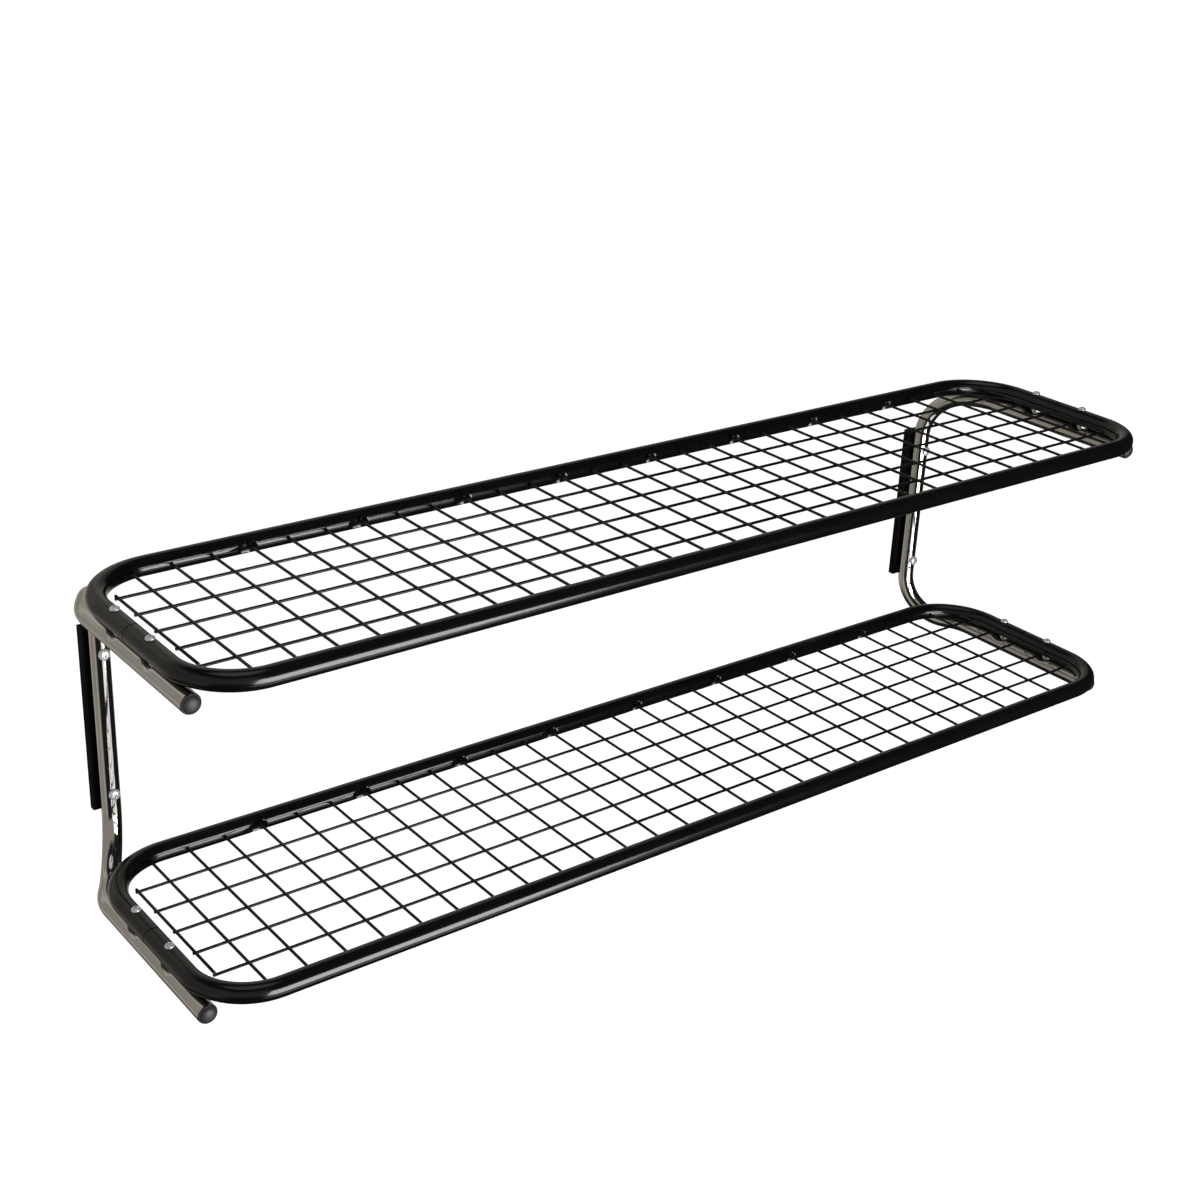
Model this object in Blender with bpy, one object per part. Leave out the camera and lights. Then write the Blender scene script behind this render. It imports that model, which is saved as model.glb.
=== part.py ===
"""Wall-mounted rack with two wire shelves.

Two chromed C-shaped tube brackets stand against the wall on flat strips.
Each arm carries the short side of a shelf: a black tube frame in two U halves
that hold a welded wire mesh between them.

Metres. +Z up, +X along the wall, the wall is the plane y = 0 and the rack
reaches out to -Y. The origin lies on the wall, midway between the brackets
and midway between the arms.
"""

import math

import bmesh
import bpy
from mathutils import Matrix, Quaternion, Vector

# ---- driving dimensions ----------------------------------------------------
GAP = 0.0003                 # clearance between pieces that touch

RACK_LENGTH = 1.000          # along the wall, outside the frame tubes
FRAME_DEPTH = 0.233          # front to back, outside the frame tubes
REAR_SPACE = 0.043           # wall to the back of the frame
SHELF_SPACING = 0.252        # one shelf to the other
FRONT_CORNER_RADIUS = 0.050  # frame corners, on the tube's centre line
REAR_CORNER_RADIUS = 0.058
FRAME_TUBE = 0.016           # outside diameter
FRAME_WALL = 0.0012
FRAME_SEAM = 0.0003          # joint between the two halves of a frame

WIRE = 0.0025                # diameter of every mesh wire
WIRE_WELD = 0.0003           # how far two crossing wires sink into each other
CROSS_PITCH = 0.1 / 3        # between cross wires
SHORTEST_END_CELL = 0.020    # the cell at each end of the mesh is narrower
LONG_PITCH = 0.0332          # between long wires
WIRE_STUB = 0.001            # a wire runs on past the last one that it crosses
MESH_SHIFT = 0.002           # the mesh sits this far to the right
MESH_PLAY = 0.001            # between the mesh's right end and the frame
WIRE_HOLE_PLAY = 0.0004      # round each wire, in the frame's wall
WIRE_ENTRY = 0.004           # how far a cross wire runs inside the tube

BRACKET_TUBE = 0.016         # outside diameter
BRACKET_WALL = 0.0012
ARM_REACH = 0.248            # wall to the arm's open end
LEG_INSET = 0.0330           # leg stands this far inboard of its arms
BEND_RADIUS = 0.048          # leg to arm
BEND_SPLAY = math.radians(30)    # how far that bend turns outwards
ARM_BEND_RADIUS = 0.045      # brings the splayed tube back in line

STRIP_WIDTH = 0.023
STRIP_THICKNESS = 0.0064
STRIP_HEIGHT = 0.164
STRIP_CHAMFER = 0.001

SHELF_SCREW = 0.004          # shank diameter
SHELF_SCREW_HEAD = 0.0074
SHELF_SCREW_HEAD_HEIGHT = 0.0024
SHELF_SCREW_SPACING = 0.058  # the two screws on one side of a shelf
SHELF_SCREW_REACH = 0.006    # how far the shank reaches below the arm's crown
SPLICE_MARGIN = 0.010        # splice sleeve runs on past the screws
SPLICE_WALL = 0.0015

WALL_SCREW = 0.005
WALL_SCREW_HEAD = 0.0095
WALL_SCREW_HEAD_HEIGHT = 0.0032
WALL_SCREW_SPACING = 0.125   # the two screws in one leg
WALL_SCREW_SHORT = 0.0006    # the tip ends this far before the wall

CAP_FLANGE = 0.0012
CAP_DOME = 0.0032
CAP_PLUG = 0.010

TUBE_SIDES = 12
CORNER_STEPS = 6
BEND_STEPS = 6
ARM_BEND_STEPS = 3
SCREW_SIDES = 8

# ---- places that follow from them ------------------------------------------
FRAME_RADIUS = FRAME_TUBE / 2
BRACKET_RADIUS = BRACKET_TUBE / 2
SIDE_X = RACK_LENGTH / 2 - FRAME_RADIUS
RAIL_Y = FRAME_DEPTH / 2 - FRAME_RADIUS
FRAME_Y = -(REAR_SPACE + FRAME_DEPTH / 2)
ARM_Z = SHELF_SPACING / 2
FRAME_ABOVE_ARM = FRAME_RADIUS + BRACKET_RADIUS + GAP
LEG_X = SIDE_X - LEG_INSET
LEG_Y = -(STRIP_THICKNESS + GAP + BRACKET_RADIUS)
LONG_WIRES = int(2 * (RAIL_Y - FRAME_RADIUS) / LONG_PITCH) - 1
LONG_HALF = (LONG_WIRES - 1) / 2 * LONG_PITCH    # from the middle long wire to the last
SHELVES = {"upper": ARM_Z, "lower": -ARM_Z}
SIDES = {"left": -1, "right": 1}


def material(name, colour, roughness, metallic):
    made = bpy.data.materials.new(name)
    made.use_nodes = True
    shader = made.node_tree.nodes["Principled BSDF"]
    shader.inputs["Base Color"].default_value = (*colour, 1)
    shader.inputs["Roughness"].default_value = roughness
    shader.inputs["Metallic"].default_value = metallic
    return made


def finish(name, mesh_work, finish_material):
    """Turn a bmesh into a named object with its faces pointing out."""
    bmesh.ops.recalc_face_normals(mesh_work, faces=mesh_work.faces)
    mesh = bpy.data.meshes.new(name)
    mesh_work.to_mesh(mesh)
    mesh_work.free()
    mesh.shade_smooth()
    mesh.set_sharp_from_angle(angle=math.radians(40))
    made = bpy.data.objects.new(name, mesh)
    bpy.context.collection.objects.link(made)
    if finish_material:
        mesh.materials.append(finish_material)
    return made


def cut(target, name, cutters):
    """Take a list of bmesh-building calls away from the target."""
    work = bmesh.new()
    for build in cutters:
        build(work)
    tool = finish(name, work, None)
    tool.hide_render = True
    tool.display_type = "WIRE"
    boolean = target.modifiers.new(name, "BOOLEAN")
    boolean.operation = "DIFFERENCE"
    boolean.object = tool


def rod(work, start, end, diameter, sides):
    """A capped prism between two points, one facet square to each axis."""
    start, end = Vector(start), Vector(end)
    along = end - start
    turn = Vector((0, 0, 1)).rotation_difference(along.normalized())
    spin = Matrix.Rotation(math.pi / sides, 4, "Z")
    place = Matrix.Translation((start + end) / 2) @ turn.to_matrix().to_4x4() @ spin
    bmesh.ops.create_cone(work, cap_ends=True, segments=sides, radius1=diameter / 2,
                          radius2=diameter / 2, depth=along.length, matrix=place)


def hole(start, end, diameter, sides=8):
    return lambda work: rod(work, start, end, diameter, sides)


def tube(name, path, first_normal, radius, wall, finish_material):
    """A hollow tube swept along a path, with a ring of TUBE_SIDES at each point."""
    work = bmesh.new()
    points = [Vector(point) for point in path]
    steps = [(b - a).normalized() for a, b in zip(points, points[1:])]
    tangents = [steps[0]] + [(a + b).normalized() for a, b in zip(steps, steps[1:])] + [steps[-1]]
    normal = Vector(first_normal)
    skins = {radius: [], radius - wall: []}
    for index, (point, tangent) in enumerate(zip(points, tangents)):
        if index:
            normal = tangents[index - 1].rotation_difference(tangent) @ normal
        normal = (normal - normal.dot(tangent) * tangent).normalized()
        for skin, rings in skins.items():
            ring = []
            for side in range(TUBE_SIDES):
                angle = (side + 0.5) * 2 * math.pi / TUBE_SIDES
                spoke = Quaternion(tangent, angle) @ normal
                ring.append(work.verts.new(point + skin * spoke))
            rings.append(ring)
    outer, inner = skins.values()
    for rings in (outer, inner):
        for one, two in zip(rings, rings[1:]):
            bridge(work, one, two)
    bridge(work, outer[0], inner[0])
    bridge(work, outer[-1], inner[-1])
    return finish(name, work, finish_material)


def bridge(work, one, two):
    count = len(one)
    for index in range(count):
        following = (index + 1) % count
        work.faces.new((one[index], one[following], two[following], two[index]))


def turned(name, profile, place, sides, finish_material):
    """A solid turned round Z from (radius, height) pairs, then put in place."""
    work = bmesh.new()
    tip = work.verts.new((0, 0, profile[0][1]))
    rings = []
    for radius, height in profile:
        ring = []
        for side in range(sides):
            angle = (side + 0.5) * 2 * math.pi / sides
            ring.append(work.verts.new((radius * math.cos(angle), radius * math.sin(angle), height)))
        rings.append(ring)
    for one, two in zip(rings, rings[1:]):
        bridge(work, one, two)
    for index in range(sides):
        work.faces.new((tip, rings[0][index], rings[0][(index + 1) % sides]))
    work.faces.new(rings[-1])
    bmesh.ops.transform(work, matrix=place, verts=work.verts)
    return finish(name, work, finish_material)


# ---- shelf frames ----------------------------------------------------------
def half_frame_path(facing):
    """One U half, from the left seam round both corners to the right seam."""
    radius = REAR_CORNER_RADIUS if facing > 0 else FRONT_CORNER_RADIUS
    straight_x = SIDE_X - radius
    straight_y = RAIL_Y - radius
    flat = [(-SIDE_X, FRAME_SEAM / 2)]
    for centre_x, first_angle in ((-straight_x, math.pi), (straight_x, math.pi / 2)):
        for step in range(CORNER_STEPS + 1):
            angle = first_angle - step * math.pi / 2 / CORNER_STEPS
            flat.append((centre_x + radius * math.cos(angle), straight_y + radius * math.sin(angle)))
    flat.append((SIDE_X, FRAME_SEAM / 2))
    return [(x, FRAME_Y + facing * y) for x, y in flat]


def screw_offset():
    """From the seam to a shelf screw; screw and sleeve keep to the straight part of the side."""
    straight = RAIL_Y - max(FRONT_CORNER_RADIUS, REAR_CORNER_RADIUS)
    return min(SHELF_SCREW_SPACING / 2, straight - SPLICE_MARGIN - GAP)


def screw_places():
    """The y of the rear and the front screw of a shelf's short side."""
    return {"rear": FRAME_Y + screw_offset(), "front": FRAME_Y - screw_offset()}


def mesh_reach():
    """How far from the middle the mesh can reach before it meets a rounded corner."""
    radius = max(FRONT_CORNER_RADIUS, REAR_CORNER_RADIUS)
    inside = radius - FRAME_RADIUS
    past_straight = max(0, LONG_HALF + WIRE_STUB + WIRE / 2 - (RAIL_Y - radius))
    return SIDE_X - radius + math.sqrt(inside ** 2 - past_straight ** 2) - MESH_PLAY


def cross_wire_places():
    """The x of every cross wire, and of those that reach into the frame."""
    span = 2 * (mesh_reach() - MESH_SHIFT - WIRE_STUB)
    cells = int((span - 2 * SHORTEST_END_CELL) / CROSS_PITCH)
    first = MESH_SHIFT - cells * CROSS_PITCH / 2
    inner = [first + index * CROSS_PITCH for index in range(cells + 1)]
    return [MESH_SHIFT - span / 2] + inner + [MESH_SHIFT + span / 2], inner


def screw_holes(z_low, z_high, sides=SIDES.values(), rows=("rear", "front")):
    """Clearance holes for the shelf screws, between two heights."""
    places = screw_places()
    size = SHELF_SCREW + 2 * WIRE_HOLE_PLAY
    return [hole((side * SIDE_X, places[row], z_low), (side * SIDE_X, places[row], z_high), size)
            for side in sides for row in rows]


def shelf(level, arm_z, lacquer, wire_finish, steel):
    z = arm_z + FRAME_ABOVE_ARM
    _, inner_wires = cross_wire_places()
    wire_hole = (WIRE + 2 * WIRE_HOLE_PLAY) * math.sqrt(2)
    for row, facing in (("rear", 1), ("front", -1)):
        name = f"{level}_frame_{row}"
        path = [(x, y, z) for x, y in half_frame_path(facing)]
        half = tube(name, path, (1, 0, 0), FRAME_RADIUS, FRAME_WALL, lacquer)
        inner_face = FRAME_Y + facing * (RAIL_Y - FRAME_RADIUS)
        wire_holes = [hole((x, inner_face - facing * 2 * WIRE_ENTRY, z),
                           (x, inner_face + facing * WIRE_ENTRY, z), wire_hole, 4)
                      for x in inner_wires]
        reach = FRAME_TUBE
        cut(half, f"{name}_holes", wire_holes + screw_holes(z - reach, z + reach, rows=(row,)))
    wire_mesh(f"{level}_wire_mesh", z, wire_finish)
    half_length = screw_offset() + SPLICE_MARGIN
    for side_name, side in SIDES.items():
        name = f"{level}_{side_name}_splice"
        path = [(side * SIDE_X, FRAME_Y - half_length, z), (side * SIDE_X, FRAME_Y + half_length, z)]
        sleeve = tube(name, path, (1, 0, 0), FRAME_RADIUS - FRAME_WALL - GAP, SPLICE_WALL, steel)
        cut(sleeve, f"{name}_holes", screw_holes(z - FRAME_TUBE, z + FRAME_TUBE, sides=(side,)))


def wire_mesh(name, z, finish_material):
    """Cross wires welded on top of the long wires, as one body."""
    all_wires, inner_wires = cross_wire_places()
    width = WIRE * math.sqrt(2)    # corner to corner of a square bar of the wire's width
    inside = RAIL_Y - FRAME_RADIUS + FRAME_WALL + WIRE_ENTRY
    cross = bmesh.new()
    for x in all_wires:
        reach = inside if x in inner_wires else LONG_HALF + WIRE_STUB
        rod(cross, (x, FRAME_Y - reach, z), (x, FRAME_Y + reach, z), width, 4)
    mesh = finish(name, cross, finish_material)
    long_z = z - WIRE + WIRE_WELD
    long = bmesh.new()
    for index in range(LONG_WIRES):
        y = FRAME_Y - LONG_HALF + index * LONG_PITCH
        rod(long, (all_wires[0] - WIRE_STUB, y, long_z), (all_wires[-1] + WIRE_STUB, y, long_z), width, 4)
    tool = finish(f"{name}_long_wires", long, None)
    tool.hide_render = True
    tool.display_type = "WIRE"
    boolean = mesh.modifiers.new("long_wires", "BOOLEAN")
    boolean.operation = "UNION"
    boolean.object = tool


# ---- brackets --------------------------------------------------------------
def arc_steps(count):
    return [step / count for step in range(1, count + 1)]


def bracket_path(side):
    """Centre line of one bracket, from the upper arm's end to the lower arm's."""
    sine, cosine = math.sin(BEND_SPLAY), math.cos(BEND_SPLAY)
    straight = (LEG_INSET - BEND_RADIUS * sine - ARM_BEND_RADIUS * (1 - cosine)) / sine
    top = []                   # (outward, forward, height) from the leg up to the arm's end
    for share in [0] + arc_steps(BEND_STEPS):
        angle = share * math.pi / 2
        run = BEND_RADIUS * (1 - math.cos(angle))
        top.append((run * sine, run * cosine, ARM_Z - BEND_RADIUS + BEND_RADIUS * math.sin(angle)))
    out = (BEND_RADIUS + straight) * sine
    forward = (BEND_RADIUS + straight) * cosine
    for share in [0] + arc_steps(ARM_BEND_STEPS):
        heading = BEND_SPLAY * (1 - share)
        top.append((out + ARM_BEND_RADIUS * (math.cos(heading) - cosine),
                    forward + ARM_BEND_RADIUS * (sine - math.sin(heading)), ARM_Z))
    top.append((LEG_INSET, ARM_REACH + LEG_Y, ARM_Z))
    upper = [(side * (LEG_X + out), LEG_Y - forward, height) for out, forward, height in top]
    return upper[::-1] + [(x, y, -height) for x, y, height in upper]


def bracket(side_name, side, chrome):
    name = f"{side_name}_bracket"
    made = tube(name, bracket_path(side), (1, 0, 0), BRACKET_RADIUS, BRACKET_WALL, chrome)
    holes = []
    for arm_z in SHELVES.values():
        holes += screw_holes(arm_z, arm_z + BRACKET_TUBE, sides=(side,))
    size = WALL_SCREW + 2 * WIRE_HOLE_PLAY
    for z in wall_screw_heights().values():
        holes.append(hole((side * LEG_X, LEG_Y - BRACKET_TUBE, z), (side * LEG_X, LEG_Y + BRACKET_TUBE, z), size))
    cut(made, f"{name}_holes", holes)


def wall_screw_heights():
    return {"upper": WALL_SCREW_SPACING / 2, "lower": -WALL_SCREW_SPACING / 2}


def wall_strip(side_name, side, plastic):
    """The flat bar between a leg and the wall, with its front edges chamfered."""
    name = f"{side_name}_wall_strip"
    work = bmesh.new()
    place = Matrix.Translation((side * LEG_X, -STRIP_THICKNESS / 2, 0))
    size = Matrix.Diagonal((STRIP_WIDTH, STRIP_THICKNESS, STRIP_HEIGHT, 1))
    bmesh.ops.create_cube(work, size=1, matrix=place @ size)
    front = [edge for edge in work.edges if all(vert.co.y < -STRIP_THICKNESS / 2 for vert in edge.verts)]
    bmesh.ops.bevel(work, geom=front, offset=STRIP_CHAMFER, segments=1, affect="EDGES")
    made = finish(name, work, plastic)
    holes = [hole((side * LEG_X, -STRIP_THICKNESS * 2, z), (side * LEG_X, STRIP_THICKNESS, z),
                  WALL_SCREW + 2 * WIRE_HOLE_PLAY) for z in wall_screw_heights().values()]
    cut(made, f"{name}_holes", holes)


def end_cap(level, side_name, side, arm_z, plastic):
    """Domed cap with a plug, in an arm's open end; its axis points to the front."""
    plug = BRACKET_RADIUS - BRACKET_WALL - GAP
    profile = [(plug * 0.9, -CAP_PLUG), (plug, -CAP_PLUG + 0.001), (plug, GAP)]
    profile += [(BRACKET_RADIUS, GAP), (BRACKET_RADIUS, GAP + CAP_FLANGE)]
    for share in (0.35, 0.7, 1.0):
        angle = share * math.pi / 2 * 0.85
        profile.append((BRACKET_RADIUS * math.cos(angle), GAP + CAP_FLANGE + CAP_DOME * math.sin(angle)))
    place = Matrix.Translation((side * SIDE_X, -ARM_REACH, arm_z)) @ Matrix.Rotation(math.pi / 2, 4, "X")
    turned(f"{level}_{side_name}_end_cap", profile, place, TUBE_SIDES, plastic)


# ---- screws ----------------------------------------------------------------
def pan_screw(name, shank, length, head, head_height, place, zinc):
    """Pan-head screw, head up along Z, with the underside of its head at z = 0."""
    profile = [(shank * 0.3, -length), (shank / 2, -length + shank / 2), (shank / 2, 0), (head / 2, 0),
               (head / 2, head_height * 0.45), (head * 0.42, head_height * 0.8), (head * 0.25, head_height)]
    turned(name, profile, place, SCREW_SIDES, zinc)


def shelf_screws(level, arm_z, zinc):
    crown = arm_z + FRAME_ABOVE_ARM + FRAME_RADIUS + GAP
    length = crown - (arm_z + BRACKET_RADIUS - SHELF_SCREW_REACH)
    for side_name, side in SIDES.items():
        for row, y in screw_places().items():
            place = Matrix.Translation((side * SIDE_X, y, crown))
            pan_screw(f"{level}_{side_name}_{row}_shelf_screw", SHELF_SCREW, length,
                      SHELF_SCREW_HEAD, SHELF_SCREW_HEAD_HEIGHT, place, zinc)


def wall_screws(side_name, side, zinc):
    front = LEG_Y - BRACKET_RADIUS - GAP
    length = -front - WALL_SCREW_SHORT
    for level, z in wall_screw_heights().items():
        place = Matrix.Translation((side * LEG_X, front, z)) @ Matrix.Rotation(math.pi / 2, 4, "X")
        pan_screw(f"{side_name}_{level}_wall_screw", WALL_SCREW, length,
                  WALL_SCREW_HEAD, WALL_SCREW_HEAD_HEIGHT, place, zinc)


def main():
    for old in list(bpy.data.objects):
        bpy.data.objects.remove(old)
    lacquer = material("gloss_black_lacquer", (0.012, 0.012, 0.013), 0.18, 0.0)
    wire_finish = material("black_coated_wire", (0.014, 0.014, 0.015), 0.35, 0.0)
    chrome = material("polished_chrome", (0.62, 0.60, 0.57), 0.08, 1.0)
    zinc = material("zinc_plate", (0.66, 0.69, 0.68), 0.28, 1.0)
    steel = material("plain_steel", (0.35, 0.35, 0.36), 0.40, 1.0)
    plastic = material("black_plastic", (0.035, 0.035, 0.037), 0.45, 0.0)
    for level, arm_z in SHELVES.items():
        shelf(level, arm_z, lacquer, wire_finish, steel)
        shelf_screws(level, arm_z, zinc)
        for side_name, side in SIDES.items():
            end_cap(level, side_name, side, arm_z, plastic)
    for side_name, side in SIDES.items():
        bracket(side_name, side, chrome)
        wall_strip(side_name, side, plastic)
        wall_screws(side_name, side, zinc)


main()
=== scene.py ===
"""Looks for a wall rack with two wire shelves on chromed C-shaped brackets.

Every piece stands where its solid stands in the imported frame: the tubes are drawn
again as round tubes with their pressed dents, holes and seats, the wires as round
welded wires, and the screws with their cross recesses.
"""
import math
from typing import NamedTuple

import bmesh
import bpy
from mathutils import Matrix, Vector


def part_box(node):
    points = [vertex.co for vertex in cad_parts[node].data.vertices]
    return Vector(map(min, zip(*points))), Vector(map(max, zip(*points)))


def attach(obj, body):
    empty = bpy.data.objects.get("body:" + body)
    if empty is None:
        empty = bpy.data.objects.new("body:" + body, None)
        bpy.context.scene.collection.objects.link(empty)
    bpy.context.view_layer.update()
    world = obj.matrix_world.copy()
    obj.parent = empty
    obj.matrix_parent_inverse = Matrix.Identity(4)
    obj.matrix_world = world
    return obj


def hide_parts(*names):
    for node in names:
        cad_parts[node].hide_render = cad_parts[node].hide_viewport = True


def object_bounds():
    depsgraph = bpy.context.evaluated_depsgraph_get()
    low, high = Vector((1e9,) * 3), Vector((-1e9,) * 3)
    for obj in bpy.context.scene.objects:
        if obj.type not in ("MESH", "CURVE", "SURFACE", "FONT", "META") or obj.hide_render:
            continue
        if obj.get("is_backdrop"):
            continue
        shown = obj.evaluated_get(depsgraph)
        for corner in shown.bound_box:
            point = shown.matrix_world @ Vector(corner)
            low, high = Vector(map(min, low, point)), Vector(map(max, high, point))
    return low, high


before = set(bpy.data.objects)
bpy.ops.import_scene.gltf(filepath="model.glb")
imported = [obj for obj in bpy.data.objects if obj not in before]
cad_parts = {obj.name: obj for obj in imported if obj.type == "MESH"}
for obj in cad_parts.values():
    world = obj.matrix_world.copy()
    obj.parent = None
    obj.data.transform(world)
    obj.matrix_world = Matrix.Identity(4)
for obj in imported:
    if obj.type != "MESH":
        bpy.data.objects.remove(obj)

bl_info = {
    "name": "Wire Shelf Wall Rack",
    "version": (1, 0, 0),
    "blender": (4, 5, 0),
    "location": "View3D > Sidebar > Rack",
    "description": "Builds the visible pieces of a wall rack with two wire shelves",
    "category": "Object",
}

LEVELS = ("upper", "lower")
SIDES = ("left", "right")
ROWS = ("rear", "front")
OUTWARD = {"left": -1, "right": 1}
TO_WALL = {"rear": 1, "front": -1}
CAD_FACET = math.cos(math.pi / 12)    # the solids' tubes have twelve flats
SPIN_SIGN = -1                        # the spin operator turns clockwise about its axis
PRESSED_SHARE = 0.3                   # a dent's fully pressed width, as a share of its reach
UP = Vector((0, 0, 1))


# ---- places read from the frame --------------------------------------------
def middle(node):
    low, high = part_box(node)
    return (low + high) / 2


def shelf_height(level):
    return middle(f"{level}_left_splice").z


def side_x(side):
    return middle(f"upper_{side}_splice").x


def arm_height(level):
    return middle(f"{level}_left_end_cap").z


def leg_x(side):
    return middle(f"{side}_upper_wall_screw").x


def seam_y():
    """Where the two halves of a shelf frame meet."""
    rear_low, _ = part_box("upper_frame_rear")
    _, front_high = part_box("upper_frame_front")
    return (rear_low.y + front_high.y) / 2


def rail_y(row, tube):
    low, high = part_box(f"upper_frame_{row}")
    outer = high.y if row == "rear" else low.y
    return outer - TO_WALL[row] * tube / 2 * CAD_FACET


def screw_y(row):
    return middle(f"upper_left_{row}_shelf_screw").y


# ---- modelling helpers -----------------------------------------------------
def deselect_all():
    bpy.ops.object.select_all(action="DESELECT")


def pick(*pieces):
    deselect_all()
    for piece in pieces:
        piece.select_set(True)
    bpy.context.view_layer.objects.active = pieces[0]


def settle(piece):
    """Put the piece's place, turn and scale into its mesh."""
    pick(piece)
    bpy.ops.object.transform_apply(location=True, rotation=True, scale=True)


def edit(piece):
    pick(piece)
    bpy.ops.object.mode_set(mode="EDIT")
    bpy.ops.mesh.select_all(action="SELECT")


def leave_edit():
    bpy.ops.object.mode_set(mode="OBJECT")


def select_faces(piece, wanted):
    """In edit mode, select just the faces for which wanted(face) is true."""
    work = bmesh.from_edit_mesh(piece.data)
    bpy.ops.mesh.select_all(action="DESELECT")
    for face in work.faces:
        face.select_set(bool(wanted(face)))
    bmesh.update_edit_mesh(piece.data)


def select_verts(piece, wanted):
    """In edit mode, select just the vertices for which wanted(place) is true."""
    work = bmesh.from_edit_mesh(piece.data)
    bpy.ops.mesh.select_all(action="DESELECT")
    for vert in work.verts:
        vert.select_set(bool(wanted(vert.co)))
    bmesh.update_edit_mesh(piece.data)


def apply_modifier(piece, kind, **settings):
    pick(piece)
    made = piece.modifiers.new(kind.lower(), kind)
    for name, value in settings.items():
        setattr(made, name, value)
    bpy.ops.object.modifier_apply(modifier=made.name)


def carve(piece, cutter):
    """Cut one piece with another, then throw the cutter away."""
    apply_modifier(piece, "BOOLEAN", operation="DIFFERENCE", object=cutter, solver="EXACT")
    bpy.data.objects.remove(cutter)


def repeat(piece, count, step):
    apply_modifier(piece, "ARRAY", count=count, use_relative_offset=False, use_constant_offset=True,
                   constant_offset_displace=step)


def join(pieces):
    pick(*pieces)
    bpy.ops.object.join()
    return bpy.context.object


def smooth(piece, degrees=35):
    pick(piece)
    bpy.ops.object.shade_smooth_by_angle(angle=math.radians(degrees))


def deliver(piece, name, material, slot, *nodes):
    """Name a finished piece, give it its finish and let it stand for its solids."""
    piece.name = name
    piece.data.name = name
    piece.data.materials.clear()
    piece.data.materials.append(material)
    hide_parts(*nodes)
    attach(piece, "root")
    return piece


def rod(start, end, diameter, sides, softened=0.0):
    """A straight round bar between two points, its end edges softened."""
    start, end = Vector(start), Vector(end)
    along = end - start
    deselect_all()
    bpy.ops.mesh.primitive_cylinder_add(
        vertices=sides, radius=diameter / 2, depth=along.length, location=(start + end) / 2,
        rotation=UP.rotation_difference(along.normalized()).to_euler())
    bar = bpy.context.object
    settle(bar)
    if softened:
        edit(bar)
        select_faces(bar, lambda face: abs(face.normal.dot(along.normalized())) > 0.9)
        bpy.ops.mesh.bevel(offset=softened, segments=2, affect="EDGES")
        leave_edit()
    return bar


def turned(profile, sides):
    """A solid of revolution about Z, drawn ring by ring from (radius, height) pairs."""
    deselect_all()
    radius, height = profile[0]
    bpy.ops.mesh.primitive_circle_add(vertices=sides, radius=radius, fill_type="NGON",
                                      location=(0, 0, height))
    piece = bpy.context.object
    settle(piece)
    edit(piece)
    for next_radius, next_height in profile[1:]:
        bpy.ops.mesh.extrude_region_move(
            TRANSFORM_OT_translate={"value": (0, 0, next_height - height)})
        if next_radius != radius:
            share = next_radius / radius
            bpy.ops.transform.resize(value=(share, share, 1), center_override=(0, 0, next_height))
        radius, height = next_radius, next_height
    bpy.ops.mesh.select_all(action="SELECT")
    bpy.ops.mesh.normals_make_consistent(inside=False)
    leave_edit()
    return piece


class TubeDrawing:
    """A tube drawn in edit mode: a ring pushed along straight runs and swung round bends."""

    def __init__(self, start, heading, diameter, sides):
        self.point = Vector(start)
        self.heading = Vector(heading).normalized()
        self.radius = diameter / 2
        self.start = self.point.copy()
        deselect_all()
        bpy.ops.mesh.primitive_circle_add(
            vertices=sides, radius=diameter / 2, fill_type="NOTHING", location=self.point,
            rotation=UP.rotation_difference(self.heading).to_euler())
        self.piece = bpy.context.object
        settle(self.piece)
        edit(self.piece)

    def run(self, length, cuts=1):
        for _ in range(cuts):
            bpy.ops.mesh.extrude_region_move(
                TRANSFORM_OT_translate={"value": self.heading * length / cuts})
        self.point += self.heading * length

    def taper(self, share):
        """Draw the ring just made in towards its centre, for the rolled end of a tube."""
        bpy.ops.transform.resize(value=(share,) * 3, center_override=self.point)

    def open_start(self, lip):
        """Begin with an end ring a little smaller than the tube."""
        self.taper(1 - lip / self.radius)
        self.run(lip)
        self.taper(1 / (1 - lip / self.radius))

    def close_end(self, lip):
        self.run(lip)
        self.taper(1 - lip / self.radius)

    def run_to(self, distances):
        """Straight on, with a ring at each of the given distances from here."""
        gone = 0
        for distance in distances:
            self.run(distance - gone)
            gone = distance

    def bend(self, radius, axis, angle, steps):
        axis = Vector(axis).normalized()
        centre = self.point + radius * axis.cross(self.heading)
        bpy.ops.mesh.spin(steps=steps, angle=SPIN_SIGN * angle, center=centre, axis=axis)
        turn = Matrix.Rotation(angle, 3, axis)
        self.heading = turn @ self.heading
        self.point = centre + turn @ (self.point - centre)

    def finish(self):
        """Leave edit mode with every face pointing away from the tube's centre line."""
        leave_edit()
        face = self.piece.data.polygons[0]
        if face.normal.dot(face.center - self.start) < 0:
            edit(self.piece)
            bpy.ops.mesh.flip_normals()
            leave_edit()
        return self.piece


def press(piece, spot, push, half_length, reach, along, falloff):
    """Press a dent: the skin round a spot moves by push, fading out within reach."""
    edit(piece)
    along = Vector(along).normalized()

    def in_line(place):
        offset = place - spot
        run = offset.dot(along)
        return abs(run) <= half_length and (offset - run * along).length <= reach * PRESSED_SHARE

    select_verts(piece, in_line)
    bpy.ops.transform.translate(value=push, use_proportional_edit=True,
                                proportional_edit_falloff=falloff, proportional_size=reach)
    leave_edit()


# ---- finishes --------------------------------------------------------------
def sockets(group, inputs, outputs):
    for name, kind, default in inputs:
        made = group.interface.new_socket(name=name, in_out="INPUT", socket_type=kind)
        if default is not None:
            made.default_value = default
    for name, kind in outputs:
        group.interface.new_socket(name=name, in_out="OUTPUT", socket_type=kind)


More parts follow.
